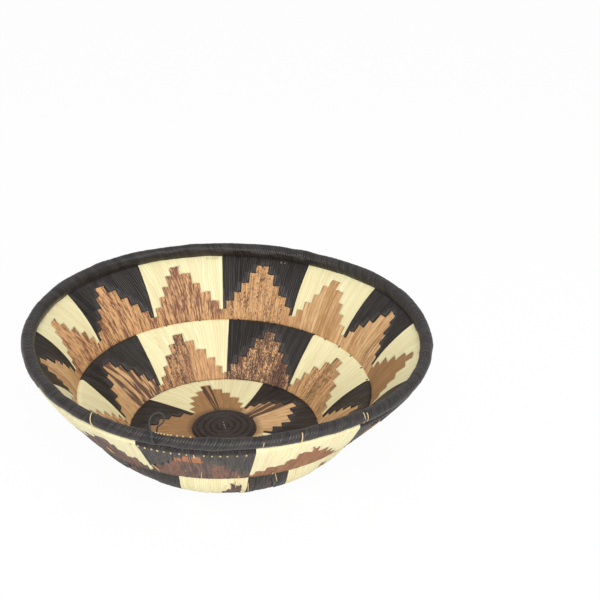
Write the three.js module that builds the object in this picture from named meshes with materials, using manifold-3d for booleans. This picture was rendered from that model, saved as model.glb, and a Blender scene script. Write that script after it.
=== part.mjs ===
// Coiled basket: a dark wound disc, three tiers of panelled band and a wrapped rim.
// Millimetres, +Z up. The basket stands on Z = 0 with its axis on the origin.
// Angles are degrees round the axis, counted from +X towards +Y.

import * as THREE from 'three';
import { mergeVertices } from 'three/addons/utils/BufferGeometryUtils.js';
import Module from 'manifold-3d';

const wasm = await Module();
wasm.setup();

// Driving dimensions

const clearance = 0.3;          // left between pieces that touch

// Centre coil
const coilDiameter = 4.2;       // thickness of the wrapped coil
const coilGap = 0.5;            // between one turn and the next
const coilEyeRadius = 0.4;      // pinhole in the middle
const coilFullTurns = 4.25;     // turns at full thickness
const coilTipDiameter = 0.7;    // where the tapered last turn ends

// Bands: each tier is a band with round edges. Fullness is how far a face stands out halfway between
// the edges, and is negative where the face is hollow.
const bandThickness = 6.5;      // at the edges
const foundationDiameter = 3.9; // fibre coil inside the rolled head edge of each tier
const seamOffset = 2.85;        // each tier steps out from the one below by this much
const baseWidth = 43.85;        // from edge centre to edge centre
const middleWidth = 49.2;
const middleSlope = 45.8;
const middleInnerFullness = 2;
const middleOuterFullness = 4;
const upperWidth = 53.5;
const upperSlope = 52.9;
const upperInnerFullness = 3.5;
const upperOuterFullness = -1;

// Stepped pattern: bark pyramids below, raffia above. A foot border is the height of the lowest bark
// course, which runs all round, and a head border is the raffia left above each peak.
const stairLevels = 6;          // bark courses from the foot to the peak
const baseFootBorder = 3.2;
const baseHeadBorder = 8.3;
const middleFootBorder = 6.8;
const middleHeadBorder = 5.2;
const upperFootBorder = 11;
const upperHeadBorder = 3.7;
const basePanelEdges = [64.5, 147, 240, 340];
const middlePanelEdges = [6.5, 49.5, 91, 133, 175.5, 214, 254, 281, 302, 333];
const upperPanelEdges = [11.5, 35.7, 63.2, 92.5, 121.5, 150, 176, 199, 248, 281, 313, 343];

// Rim
const rimDiameter = 10;
const rimWrapThickness = 1;
const rimOpening = 24;          // the wrap is open by this angle where it is sewn to the upper tier

// Hanging loop
const loopDiameter = 1.2;
const loopAngle = -105.2;       // where it stands on the rim
const loopSteps = 24;

// Fineness of the round shapes
const ringSides = 30;
const bandEndSteps = 3;
const bandFaceSteps = 3;
const rimSteps = 8;
const rimCoreSides = 6;
const foundationSides = 6;
const coilStepsPerTurn = 24;
const coilSides = 6;
const loopSides = 8;
const wedgeSteps = 4;

// Derived sizes

const halfBand = bandThickness / 2;
const coilRadius = coilDiameter / 2;
const coilPitch = coilDiameter + coilGap;
const coilTailTurns = (coilDiameter - coilTipDiameter) / coilPitch;
const coilStartRadius = coilEyeRadius + coilRadius;
const discRadius = coilStartRadius + coilPitch * coilFullTurns + coilRadius;
const coilHeight = bandThickness - coilRadius;
const rimRadius = rimDiameter / 2;

const radians = THREE.MathUtils.degToRad;

function polar(distance, degrees) {
  const angle = radians(degrees);
  return new THREE.Vector2(distance * Math.cos(angle), distance * Math.sin(angle));
}

// Bands in the radius and height plane

// A band runs from the centre of its foot edge to the centre of its head edge. Its courses are the
// heights of the bark along it.
function makeBand(band) {
  const head = band.foot.clone().add(polar(band.width, band.slope));
  const rise = (band.width - band.footBorder - band.headBorder) / (stairLevels - 1);
  const courses = [];
  for (let level = 0; level < stairLevels; level++) {
    courses.push(band.footBorder + rise * level);
  }
  return { ...band, head, courses };
}

function along(band, distance) {
  return band.foot.clone().add(polar(distance, band.slope));
}

const baseBand = makeBand({
  foot: new THREE.Vector2(discRadius + clearance + halfBand, halfBand),
  width: baseWidth,
  slope: 0,
  footBorder: baseFootBorder,
  headBorder: baseHeadBorder,
  innerFullness: 0,
  outerFullness: 0,
});

const middleFootShift = seamOffset / Math.sin(radians(middleSlope));
const middleBand = makeBand({
  foot: baseBand.head.clone().add(new THREE.Vector2(middleFootShift, 0)),
  width: middleWidth,
  slope: middleSlope,
  footBorder: middleFootBorder,
  headBorder: middleHeadBorder,
  innerFullness: middleInnerFullness,
  outerFullness: middleOuterFullness,
});

const upperBand = makeBand({
  foot: middleBand.head.clone().add(polar(seamOffset, upperSlope - 90)),
  width: upperWidth,
  slope: upperSlope,
  footBorder: upperFootBorder,
  headBorder: upperHeadBorder,
  innerFullness: upperInnerFullness,
  outerFullness: upperOuterFullness,
});

// The rim lies on the upper head edge, set inward by one seam step.
const rimReach = rimRadius + clearance + halfBand;
const rimRise = Math.sqrt(rimReach ** 2 - seamOffset ** 2);
const rimCentre = upperBand.head.clone()
  .add(polar(rimRise, upperSlope))
  .add(polar(seamOffset, upperSlope + 90));
const rimSeamDirection = THREE.MathUtils.radToDeg(
  Math.atan2(upperBand.head.y - rimCentre.y, upperBand.head.x - rimCentre.x));

// Points along an arc
function arc(centre, radius, start, sweep, steps) {
  const points = [];
  for (let i = 0; i <= steps; i++) {
    points.push(centre.clone().add(polar(radius, start + sweep * i / steps)));
  }
  return points;
}

// Full circle as a closed outline
function circle(centre, radius, sides) {
  return arc(centre, radius, 0, 360, sides).slice(0, sides);
}

// Points of a band's face between its edges, on a curve that bows out by the fullness
function face(band, radius, direction, fullness) {
  const points = [];
  for (let i = 1; i < bandFaceSteps; i++) {
    const share = i / bandFaceSteps;
    const bow = 4 * share * (1 - share) * fullness;
    points.push(along(band, band.width * share).add(polar(radius + bow, band.slope + direction)));
  }
  return points;
}

// Band with two round edges as a closed outline
function roundedStrip(band, radius) {
  return [
    ...arc(band.foot, radius, band.slope + 90, 180, bandEndSteps),
    ...face(band, radius, -90, band.outerFullness),
    ...arc(band.head, radius, band.slope - 90, 180, bandEndSteps),
    ...face(band, radius, 90, band.innerFullness).reverse(),
  ];
}

// Square-cut strip of a band from well below its foot up to a distance along it
function squareStrip(band, distance) {
  const reach = 2 * bandThickness;
  const low = along(band, -reach);
  const high = along(band, distance);
  const across = polar(reach, band.slope + 90);
  return [
    low.clone().add(across),
    low.clone().sub(across),
    high.clone().sub(across),
    high.clone().add(across),
  ];
}

// Solids

function toSolid(geometry) {
  const bare = geometry.clone();
  bare.deleteAttribute('normal');
  bare.deleteAttribute('uv');
  const merged = mergeVertices(bare);
  const mesh = new wasm.Mesh({
    numProp: 3,
    vertProperties: Float32Array.from(merged.attributes.position.array),
    triVerts: Uint32Array.from(merged.index.array),
  });
  return new wasm.Manifold(mesh);
}

function toGeometry(solid) {
  const mesh = solid.getMesh();
  const geometry = new THREE.BufferGeometry();
  geometry.setAttribute('position', new THREE.BufferAttribute(Float32Array.from(mesh.vertProperties), 3));
  geometry.setIndex(new THREE.BufferAttribute(Uint32Array.from(mesh.triVerts), 1));
  geometry.computeVertexNormals();
  return geometry;
}

// Outline of radius and height points, counter-clockwise, turned round the Z axis
function ringGeometry(outline) {
  const closed = [...outline, outline[0]];
  const geometry = new THREE.LatheGeometry(closed, ringSides);
  geometry.rotateX(Math.PI / 2);
  return geometry;
}

// Upright wedge from the axis outwards between two angles, its sides drawn in by an inset
const wedgeRadius = 2 * (rimCentre.x + rimRadius);
const wedgeHeight = 2 * (rimCentre.y + rimRadius);

function wedge(from, to, inset) {
  const middle = (from + to) / 2;
  const apex = polar(inset / Math.sin(radians(to - from) / 2), middle);
  const points = [apex];
  for (let i = 0; i <= wedgeSteps; i++) {
    points.push(polar(wedgeRadius, from + (to - from) * i / wedgeSteps).add(apex));
  }
  const geometry = new THREE.ExtrudeGeometry(new THREE.Shape(points), {
    depth: wedgeHeight,
    bevelEnabled: false,
  });
  geometry.translate(0, 0, -wedgeHeight / 2);
  return toSolid(geometry);
}

// Materials

const material = (color, roughness) => new THREE.MeshStandardMaterial({ color, roughness, metalness: 0 });
const creamRaffia = material('#efe0ae', 0.62);
const blackRaffia = material('#2a282b', 0.5);
const discRaffia = material('#2c211f', 0.6);
const fibre = material('#b99a68', 0.9);
const barks = [material('#a4713f', 0.7), material('#b98551', 0.7), material('#7d5232', 0.7)];
const cordGrey = material('#3d3f40', 0.6);

const basket = new THREE.Group();

function addPiece(name, geometry, finish) {
  const piece = new THREE.Mesh(geometry, finish);
  piece.name = name;
  basket.add(piece);
  return piece;
}

// Centre coil: one spiral tube whose last turn tapers so that the disc ends round

function coilRings() {
  const turns = coilFullTurns + coilTailTurns;
  const steps = Math.round(turns * coilStepsPerTurn);
  const rings = [];
  for (let i = 0; i <= steps; i++) {
    const turn = turns * i / steps;
    const tail = Math.max(0, turn - coilFullTurns);
    const radius = coilRadius - coilPitch * tail / 2;
    const distance = tail > 0 ? discRadius - radius : coilStartRadius + coilPitch * turn;
    const ring = [];
    for (let side = 0; side < coilSides; side++) {
      const section = polar(radius, 360 * side / coilSides);
      const place = polar(distance + section.x, 360 * turn);
      ring.push(new THREE.Vector3(place.x, place.y, coilHeight + section.y));
    }
    rings.push(ring);
  }
  return rings;
}

// Tube skin through rings of points, closed by a flat end at each side
function tubeGeometry(rings, sides) {
  const index = [];
  for (let i = 0; i + 1 < rings.length; i++) {
    for (let side = 0; side < sides; side++) {
      const next = (side + 1) % sides;
      const a = i * sides + side;
      const b = i * sides + next;
      index.push(a, a + sides, b, b, a + sides, b + sides);
    }
  }
  const last = (rings.length - 1) * sides;
  for (let side = 1; side + 1 < sides; side++) {
    index.push(0, side, side + 1);
    index.push(last, last + side + 1, last + side);
  }
  const geometry = new THREE.BufferGeometry().setFromPoints(rings.flat());
  geometry.setIndex(index);
  geometry.computeVertexNormals();
  return geometry;
}

// Least distance between corner points that lie half a turn or more apart along the coil
function leastGap(rings) {
  const apart = coilStepsPerTurn / 2;
  let least = Infinity;
  for (let i = 0; i < rings.length; i++) {
    for (let j = i + apart; j < rings.length; j++) {
      for (const a of rings[i]) {
        for (const b of rings[j]) {
          least = Math.min(least, a.distanceTo(b));
        }
      }
    }
  }
  return least;
}

const discRings = coilRings();
addPiece('centre_coil', tubeGeometry(discRings, coilSides), discRaffia);
console.log(`centre coil, least gap to itself: ${leastGap(discRings).toFixed(2)} mm`);

// Tiers: in every panel raffia over the head edge and bark round the foot edge, and a fibre coil
// that runs through the raffia along the head edge

function addTier(name, band, lower, panelEdges, finishes) {
  const coil = circle(band.head, foundationDiameter / 2, foundationSides);
  const tunnel = circle(band.head, foundationDiameter / 2 + clearance, foundationSides);
  addPiece(`${name}_foundation`, ringGeometry(coil), fibre);

  let strip = toSolid(ringGeometry(roundedStrip(band, halfBand)));
  if (lower) {
    strip = strip.subtract(toSolid(ringGeometry(roundedStrip(lower, halfBand + clearance))));
  }
  const raffiaStrip = strip.subtract(toSolid(ringGeometry(tunnel)));

  const levels = band.courses.map((top) => ({
    cut: toSolid(ringGeometry(squareStrip(band, top))),
    fill: toSolid(ringGeometry(squareStrip(band, top - clearance))),
  }));

  panelEdges.forEach((from, i) => {
    const to = i + 1 < panelEdges.length ? panelEdges[i + 1] : panelEdges[0] + 360;
    const column = (to - from) / (2 * stairLevels - 1);
    let { cut, fill } = levels[0];
    for (let level = 1; level < stairLevels; level++) {
      const left = from + column * level;
      const right = to - column * level;
      cut = cut.add(levels[level].cut.intersect(wedge(left, right, 0)));
      fill = fill.add(levels[level].fill.intersect(wedge(left, right, clearance)));
    }
    const panel = wedge(from, to, clearance / 2);
    const raffia = raffiaStrip.intersect(panel).subtract(cut);
    const bark = strip.intersect(panel).intersect(fill);
    addPiece(`${name}_raffia_${i + 1}`, toGeometry(raffia), finishes[i % finishes.length]);
    addPiece(`${name}_bark_${i + 1}`, toGeometry(bark), barks[i % barks.length]);
  });
}

addTier('base', baseBand, null, basePanelEdges, [creamRaffia, blackRaffia]);
addTier('middle', middleBand, baseBand, middlePanelEdges, [creamRaffia, blackRaffia]);
addTier('upper', upperBand, middleBand, upperPanelEdges, [blackRaffia, creamRaffia]);

// Rim: a fibre ring inside a raffia wrap that is open along the seam

const wrapStart = rimSeamDirection + rimOpening / 2;
const wrapSweep = 360 - rimOpening;
const wrapOutline = [
  ...arc(rimCentre, rimRadius, wrapStart, wrapSweep, rimSteps),
  ...arc(rimCentre, rimRadius - rimWrapThickness, wrapStart + wrapSweep, -wrapSweep, rimSteps),
];
const rimCoreRadius = rimRadius - rimWrapThickness - clearance;
addPiece('rim_foundation', ringGeometry(circle(rimCentre, rimCoreRadius, rimCoreSides)), fibre);
addPiece('rim_wrap', ringGeometry(wrapOutline), blackRaffia);

// Hanging loop: out of the outer seam, over the rim, round one eye and down into the inner seam

// Each point is a distance outward across the rim from its centre, a distance to the right along the
// rim as seen from outside, and a height above the rim's centre.
const loopRoute = [
  [1.1, 1, -6],
  [4.7, 0.6, -4.1],
  [6.3, 0.1, -0.3],
  [5.5, -0.3, 3.4],
  [3.8, -1.6, 6.3],
  [2.2, -2.9, 8.9],
  [1.1, -3.1, 11.4],
  [0.2, -1.9, 14.3],
  [-0.4, 0.4, 16.4],
  [-0.9, 3.3, 17.3],
  [-1.3, 5.6, 15.8],
  [-1.6, 6.1, 13],
  [-1.9, 4.9, 9.3],
  [-3.2, 2.2, 6],
  [-5.6, -0.2, 3],
  [-6.4, -1.2, -0.4],
  [-4.7, -1.4, -4.2],
];

// Between its corners the faceted rim lies a little nearer the axis than the circle through them.
const facet = 360 / ringSides;
const pastCorner = THREE.MathUtils.euclideanModulo(loopAngle + 90, facet);
const rimDistance = rimCentre.x * Math.cos(radians(facet / 2)) / Math.cos(radians(pastCorner - facet / 2));

function loopPoint([outward, right, height]) {
  const place = polar(rimDistance + outward, loopAngle).add(polar(right, loopAngle + 90));
  return new THREE.Vector3(place.x, place.y, rimCentre.y + height);
}

const loopCurve = new THREE.CatmullRomCurve3(loopRoute.map(loopPoint), false, 'centripetal');
const loopSection = circle(new THREE.Vector2(0, 0), loopDiameter / 2, loopSides);
addPiece('hanging_loop', new THREE.ExtrudeGeometry(new THREE.Shape(loopSection), {
  steps: loopSteps,
  extrudePath: loopCurve,
  bevelEnabled: false,
}), cordGrey);

export default basket;
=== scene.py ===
# Coiled basket: a wound centre disc, three tiers of raffia and bark panels, a wrapped rim and a
# hanging loop, with a stage and a camera. Metres, +Z up, the basket's axis on the origin.

import math

import bmesh
import bpy
import numpy as np
from bpy.props import EnumProperty, FloatProperty, FloatVectorProperty, IntProperty, PointerProperty
from mathutils import Matrix, Vector


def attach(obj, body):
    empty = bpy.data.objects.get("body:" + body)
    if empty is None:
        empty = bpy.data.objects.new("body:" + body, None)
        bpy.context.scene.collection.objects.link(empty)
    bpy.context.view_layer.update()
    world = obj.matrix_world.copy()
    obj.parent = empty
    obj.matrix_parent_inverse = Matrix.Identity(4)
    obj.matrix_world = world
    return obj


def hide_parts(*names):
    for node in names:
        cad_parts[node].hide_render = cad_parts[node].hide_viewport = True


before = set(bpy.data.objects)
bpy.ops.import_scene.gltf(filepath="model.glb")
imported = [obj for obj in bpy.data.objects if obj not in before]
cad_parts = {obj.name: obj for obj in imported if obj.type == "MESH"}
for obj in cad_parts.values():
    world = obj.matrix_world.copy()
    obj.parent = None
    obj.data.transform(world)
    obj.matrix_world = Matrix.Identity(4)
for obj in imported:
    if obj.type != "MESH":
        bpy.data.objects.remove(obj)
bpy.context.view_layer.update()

bl_info = {
    "name": "Coiled basket",
    "version": (1, 0, 0),
    "blender": (4, 5, 0),
    "location": "3D View > Sidebar > Basket",
    "description": "Builds the skins, strands and finishes of a coiled basket",
    "category": "Object",
}

MM = 0.001


def linear(code):
    """An sRGB hex value as linear red, green, blue and alpha."""
    values = [int(code[i:i + 2], 16) / 255 for i in (1, 3, 5)]
    return [v / 12.92 if v <= 0.04045 else ((v + 0.055) / 1.055) ** 2.4 for v in values] + [1.0]


# Sizes and colours a user would change


def colour_property(name, description, code):
    return FloatVectorProperty(
        name=name, description=description, subtype="COLOR", size=4, min=0, max=1, default=linear(code))


def length_property(name, description, millimetres):
    return FloatProperty(
        name=name, description=description, unit="LENGTH", default=millimetres * MM, precision=5)


def number_property(name, description, default, **kind):
    return FloatProperty(name=name, description=description, default=default, **kind)


class BasketSizes(bpy.types.PropertyGroup):
    band_thickness: length_property("Band thickness", "Thickness of each tier's wall", 6.5)
    raffia_thickness: length_property("Raffia thickness", "Thickness of the wrapped raffia", 0.45)
    bark_inset: length_property("Bark inset", "How deep the bark lies under the raffia's face", 0.5)
    lap: length_property("Lap", "How far the bark runs on under the raffia", 1.6)
    rim_radius: length_property("Rim radius", "Radius of the wrapped rim", 5.05)
    rim_strand: length_property("Rim strand", "Width of one wrap of the rim", 2.1)
    coil_radius: length_property("Coil radius", "Radius of the coil in the centre disc", 2.1)
    coil_strand: length_property("Coil strand", "Width of one wrap of the centre coil", 1.5)
    cord_diameter: length_property("Cord diameter", "Thickness of the hanging loop", 1.2)
    column_steps: IntProperty(name="Column steps", description="Faces across one column", default=6, min=2)
    unevenness: number_property(
        "Unevenness", "How far the rim strays from a true circle", 1.0, subtype="FACTOR", min=0, max=1)


class BasketColours(bpy.types.PropertyGroup):
    cream: colour_property("Cream", "Undyed raffia", "#fbf4c4")
    cream_shade: colour_property("Cream shade", "Darker strands of undyed raffia", "#e6d19a")
    black: colour_property("Black", "Dyed raffia", "#3a3532")
    # Painted lighter grey over the dyed raffia's ends: brushed up tufts and a painted sheen where the raffia
    # bulges
    black_tuft_and_sheen: colour_property("Black tuft", "Brushed up ends of dyed raffia", "#5e5a5a")
    black_shade: colour_property("Black shade", "Darker strands of dyed raffia", "#171311")
    disc: colour_property("Disc", "Dyed raffia of the centre disc", "#362925")
    bark_pale: colour_property("Pale bark", "Palest bark", "#ecc38f")
    bark_light: colour_property("Light bark", "Light streaks in bark", "#e2b07a")
    bark_tan: colour_property("Tan bark", "Common bark", "#b88858")
    bark_olive: colour_property("Olive bark", "Dull greenish brown bark", "#94714b")
    bark_brown: colour_property("Brown bark", "Weathered bark", "#835540")
    bark_dark: colour_property("Dark bark", "Spots and stripes in bark", "#49322c")
    bark_purple: colour_property("Purple bark", "Broad purplish brown stripes in bark", "#573b37")
    bark_orange: colour_property("Orange bark", "Glossy inner side of bark", "#b8703a")
    bark_red: colour_property("Red bark", "Reddish strips of the dark bark outside", "#82553f")
    bark_grey: colour_property("Grey bark", "Dark glossy bark outside", "#493936")
    bark_matte: colour_property("Matte bark", "Dull brown bark outside", "#b58055")
    fibre: colour_property("Fibre", "Stalk fibre inside the coils", "#b99a68")
    cord: colour_property("Cord", "Cord of the hanging loop", "#4a4d4e")
    floor: colour_property("Floor", "Table under the basket", "#fbfbfb")


class BasketStage(bpy.types.PropertyGroup):
    front_power: number_property("Front light", "Power of the large front light", 17, unit="POWER")
    top_power: number_property("Top light", "Power of the light overhead", 2.5, unit="POWER")
    sky: number_property("Sky", "Strength of the even light all round", 0.48, min=0)
    glow: number_property(
        "Glow", "How far the table is seen as pure white", 0.96, subtype="FACTOR", min=0, max=1)
    focal_length: number_property("Focal length", "Lens of the camera", 84, unit="CAMERA")


def sizes():
    """The basket's sizes as the user has set them."""
    return bpy.context.scene.basket_sizes


# Shape of the tiers

# Each band's foot edge as radius and height, its width, in millimetres, and its slope in degrees
BANDS = {
    "base": ((27.0, 3.25), 44.9, 0.0),
    "middle": ((74.6, 3.25), 50.1, 44.8),
    "upper": ((112.42, 36.8), 54.2, 52.9),
}

# How far the faces of each band stand out halfway between its edges, in millimetres: inside, and
# outside at evenly spaced angles
INNER_FULLNESS = {"base": 0, "middle": 2, "upper": 3.5}
OUTER_FULLNESS = {
    "base": (0,),
    "middle": (5, 5, 5, 5, 5, 5, 5, 5, 5.5, 7.5, 7.5, 6),
    "upper": (0, 0, 0, 0, 0, 0, 0, 1, -0.5, 0, 1.5, 1)}
BELOW = {"middle": "base", "upper": "middle"}
RIM_CENTRE = np.array((147.28, 87.62)) * MM

# How far the rim strays from a true level circle, outwards and upwards, in millimetres at each 30 degrees
RIM_OUT = (5.0, 3.5, 1.1, -0.8, -1.1, -1.7, -2.6, -3.7, -2.7, -1.4, 0.4, 4.2)
RIM_UP = (-1.7, 1.4, 1.4, 2.6, 3.5, 3.7, 1.8, -0.3, -2.4, -3.7, -2.6, -3.7)

# Height from which the walls follow the rim
SWAY_FROM = 30 * MM

# Thickness of the rim by angle, as a share of its usual one
RIM_GIRTH = (
    (0, 1.0), (50, 1.06), (95, 1.02), (125, 1.02), (145, 1.1), (165, 1.04), (190, 0.99), (215, 0.91),
    (230, 0.84), (240, 0.89), (255, 0.81), (272, 0.88), (286, 0.85), (305, 0.9), (325, 0.97), (345, 0.88),
    (360, 1.0))

# Height of each bark course along the band, from the foot, in millimetres
COURSES = {
    "base": (4.2, 10.7, 17.7, 24.7, 30.5, 37.7),
    "middle": (7.4, 13.7, 20.9, 29.0, 37.2, 44.3),
    "upper": (11.5, 18.0, 25.5, 33.3, 42.1, 48.8),
}
COLUMNS = 11

# Widths of a panel's columns from its border to its peak, and of the peak's own column in each tier,
# against each other
COLUMN_WIDTHS = (0.55, 1.0, 1.0, 1.0, 0.9)
PEAK_WIDTHS = {"base": 0.8, "middle": 1.4, "upper": 1.4}

# Panel borders in degrees: at the head edge, at the inner foot and at the outer foot
BORDERS = {
    "base": (
        (66.5, 147.5, 240, 345),
        (62.3, 142.5, 238, 344),
        (67, 149, 240, 340)),
    "middle": (
        (6.3, 50.5, 90.3, 133, 175.8, 215, 256.3, 281.5, 296.3, 333),
        (7.5, 48.3, 91.2, 134.9, 179, 213, 254, 281, 299, 333),
        (6.5, 51, 91, 133, 176, 216, 252.5, 280, 301, 334)),
    "upper": (
        (11.5, 36.1, 62.9, 92.9, 122.1, 152.4, 177.1, 208, 248.9, 281.1, 311.1, 341),
        (11, 36.5, 63.4, 92.8, 122.3, 151.9, 174.7, 190.5, 247, 281, 313, 343),
        (10, 36, 63, 93, 122, 151, 178, 199, 247.6, 281, 317, 345)),
}

# Degrees of each pyramid's peak at the head edge and at the foot, inside and outside, where it isn't halfway
INNER_PEAKS = {
    "base": {1: (106.5, 105), 2: (190, 190), 4: (393.3, 390)},
    "middle": {1: (29.5, 29), 2: (70, 70), 3: (114.9, 114), 4: (157, 156), 5: (198.5, 198)},
    "upper": {1: (21.8, 23), 2: (50.9, 50), 3: (78.8, 78), 4: (110.7, 107.5), 5: (139.6, 137.5),
              6: (167.4, 166), 7: (192.4, 185)},
}
OUTER_PEAKS = {
    "base": {},
    "middle": {7: (278, 275)},
    "upper": {8: (234.5, 231), 9: (264, 263), 10: (299, 300), 11: (319, 322)},
}

# How much lower the courses lie on some panels, inside and outside, in millimetres
DROPS = {
    ("upper", 8): (0, 6), ("upper", 10): (0, 3), ("middle", 3): (1.5, 0), ("middle", 7): (0, 5),
    ("middle", 9): (0, 6)}


def across(slope, degrees=0):
    """Unit vectors of a band's slope turned by angles, in the radius and height plane."""
    angle = np.radians(slope + degrees)
    return np.stack([np.cos(angle), np.sin(angle)], -1)


def band_ends(tier):
    """The foot and the head of a band's middle line, as radius and height."""
    foot, width, slope = BANDS[tier]
    foot = np.array(foot) * MM
    return foot, foot + across(slope) * width * MM


def from_middle(points, tier):
    """The places on a band's middle line that section points are nearest to, and their way from there."""
    foot, head = band_ends(tier)
    line = head - foot
    share = np.clip((points - foot) @ line / (line @ line), 0, 1)
    nearest = foot + share[:, None] * line
    return nearest, points - nearest


def clear_of(points, tier, reach):
    """Moves section points off the band of a tier, where they lie nearer to its middle line than reach."""
    nearest, gap = from_middle(points, tier)
    far = np.linalg.norm(gap, axis=1)
    return np.where((far < reach)[:, None], nearest + gap * (reach / np.maximum(far, 1e-9))[:, None], points)


def round_curve(values, angle):
    """Smooth curve round a circle through evenly spaced values, at angles in radians."""
    values = np.array(values)
    spot = angle / math.tau * len(values)
    step = np.floor(spot).astype(int)
    t = spot - step
    before, here, after, beyond = (values[(step + k) % len(values)] for k in (-1, 0, 1, 2))
    return here + 0.5 * t * (after - before + t * (
        2 * before - 5 * here + 4 * after - beyond + t * (3 * (here - after) + beyond - before)))


def in_space(section, angle):
    """Places section points, of radius and height, at angles round the axis. The handmade basket strays
    from a true circle by a few millimetres, more towards the rim."""
    sway = np.clip((section[:, 1] - SWAY_FROM) / (RIM_CENTRE[1] - SWAY_FROM), 0, 1)
    sway *= sizes().unevenness * MM
    radius = section[:, 0] + sway * round_curve(RIM_OUT, angle)
    height = section[:, 1] + sway * round_curve(RIM_UP, angle)
    return np.stack([radius * np.cos(angle), radius * np.sin(angle), height], 1)


def waver(x, y, seed):
    """Smooth random values from 0 to 1 that change once a unit in x and y."""
    def corner(i, j):
        value = np.sin(i * 127.1 + j * 311.7 + seed * 74.7) * 43758.5453
        return value - np.floor(value)
    i, j = np.floor(x), np.floor(y)
    u, v = x - i, y - j
    u, v = u * u * (3 - 2 * u), v * v * (3 - 2 * v)
    return (corner(i, j) * (1 - u) + corner(i + 1, j) * u) * (1 - v) + (
        corner(i, j + 1) * (1 - u) + corner(i + 1, j + 1) * u) * v


# Mesh helpers

# Angle in degrees over which a skin's edges stay crisp
SHARP_EDGE = 45


def numbers(mesh, name, size=1):
    """A point attribute of a mesh as an array."""
    values = np.zeros(len(mesh.vertices) * size)
    mesh.attributes[name].data.foreach_get("value" if size == 1 else "vector", values)
    return values if size == 1 else values.reshape(-1, size)


def places(mesh):
    """A mesh's points as an array."""
    values = np.zeros(len(mesh.vertices) * 3)
    mesh.vertices.foreach_get("co", values)
    return values.reshape(-1, 3)


def place(mesh, points, wrap, edge):
    """Moves a mesh's points, and keeps where its finish reads: arc, distance along and column, and the
    distance from a stepped border."""
    mesh.vertices.foreach_set("co", points.ravel())
    mesh.attributes.new("wrap", "FLOAT_VECTOR", "POINT").data.foreach_set("vector", np.ravel(wrap))
    mesh.attributes.new("edge", "FLOAT", "POINT").data.foreach_set("value", edge)
    mesh.update()


def as_mesh(bm, name):
    mesh = bpy.data.meshes.new(name)
    bm.to_mesh(mesh)
    bm.free()
    return mesh


def spin_all(bm, angle, steps, **kind):
    """Spins all that a bmesh holds round the basket's axis."""
    bmesh.ops.spin(bm, geom=bm.verts[:] + bm.edges[:] + bm.faces[:], cent=(0, 0, 0), axis=(0, 0, 1),
                   angle=angle, steps=steps, **kind)


def upright_circle(bm, radius, sides, centre, filled=False):
    """A circle that stands across the way of a spin, with its centre at a radius and height."""
    bmesh.ops.create_circle(bm, cap_ends=filled, segments=sides, radius=radius, matrix=Matrix.Translation(
        (centre[0], 0, centre[1])) @ Matrix.Rotation(math.pi / 2, 4, "X"))


def new_object(name, data):
    made = bpy.data.objects.new(name, data)
    bpy.context.scene.collection.objects.link(made)
    return made


def new_piece(name, mesh, materials, replaces=(), slot=None):
    """Makes an object of a mesh, at the origin, with its finishes, on the basket's one body."""
    mesh.name = name
    for material in materials:
        mesh.materials.append(material)
    mesh.shade_smooth()
    piece = new_object(name, mesh)
    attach(piece, "root")
    if replaces:
        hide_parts(*replaces)
    return piece


def thicken(piece, thickness):
    """Gives a skin its thickness, inwards, and keeps its borders crisp."""
    solid = piece.modifiers.new("thickness", "SOLIDIFY")
    solid.thickness = thickness
    solid.offset = -1
    skin = piece.data
    piece.data = bpy.data.meshes.new_from_object(piece.evaluated_get(bpy.context.evaluated_depsgraph_get()))
    piece.modifiers.clear()
    name = skin.name
    bpy.data.meshes.remove(skin)
    piece.data.name = name
    piece.data.set_sharp_from_angle(angle=math.radians(SHARP_EDGE))


# Node helpers


def add(tree, kind, inputs=None, **settings):
    """Adds a node with its settings. An input is a value, or another node's output to link."""
    node = tree.nodes.new(kind)
    for key, value in settings.items():
        setattr(node, key, value)
    for key, value in (inputs or {}).items():
        if isinstance(value, bpy.types.NodeSocket):
            tree.links.new(value, node.inputs[key])
        else:
            node.inputs[key].default_value = value
    return node


def new_finish(name):
    """A new material and its empty tree."""
    material = bpy.data.materials.new(name)
    material.use_nodes = True
    material.node_tree.nodes.clear()
    return material, material.node_tree


def kept(tree, name, output):
    """What a piece's points keep for its finish."""
    return add(tree, "ShaderNodeAttribute", attribute_name=name).outputs[output]


def calculate(tree, operation, *values):
    return add(tree, "ShaderNodeMath", dict(enumerate(values)), operation=operation).outputs[0]


def weighted(tree, start, *parts):
    """A starting value plus outputs that each count with a weight."""
    for output, weight in parts:
        start = calculate(tree, "MULTIPLY_ADD", output, weight, start)
    return start


def fade(tree, value, low, high, first=0.0, last=1.0):
    """Runs from first to last while the value runs from low to high."""
    return add(tree, "ShaderNodeMapRange", {
        "Value": value, "From Min": low, "From Max": high, "To Min": first, "To Max": last}).outputs[0]


def noise(tree, source, across, along, detail=2.0, roughness=0.5):
    """Noise on a position of arc and distance along, in grains of a real size in millimetres."""
    scaled = add(tree, "ShaderNodeVectorMath", {
        0: source, 1: (1 / (across * MM), 1 / (along * MM), 1.0)}, operation="MULTIPLY")
    return add(tree, "ShaderNodeTexNoise", {
        "Vector": scaled.outputs[0], "Scale": 1.0, "Detail": detail, "Roughness": roughness}).outputs["Fac"]


def blend(tree, share, first, last):
    """A colour from first to last by a share of 0 to 1."""
    return add(tree, "ShaderNodeMix", {"Factor": share, "A": first, "B": last},
               data_type="RGBA", clamp_factor=True).outputs["Result"]


def dimmed(tree, colour, *shares):
    """A colour times each of the shares."""
    for share in shares:
        colour = add(tree, "ShaderNodeVectorMath", {0: colour, "Scale": share}, operation="SCALE").outputs[0]
    return colour


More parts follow.
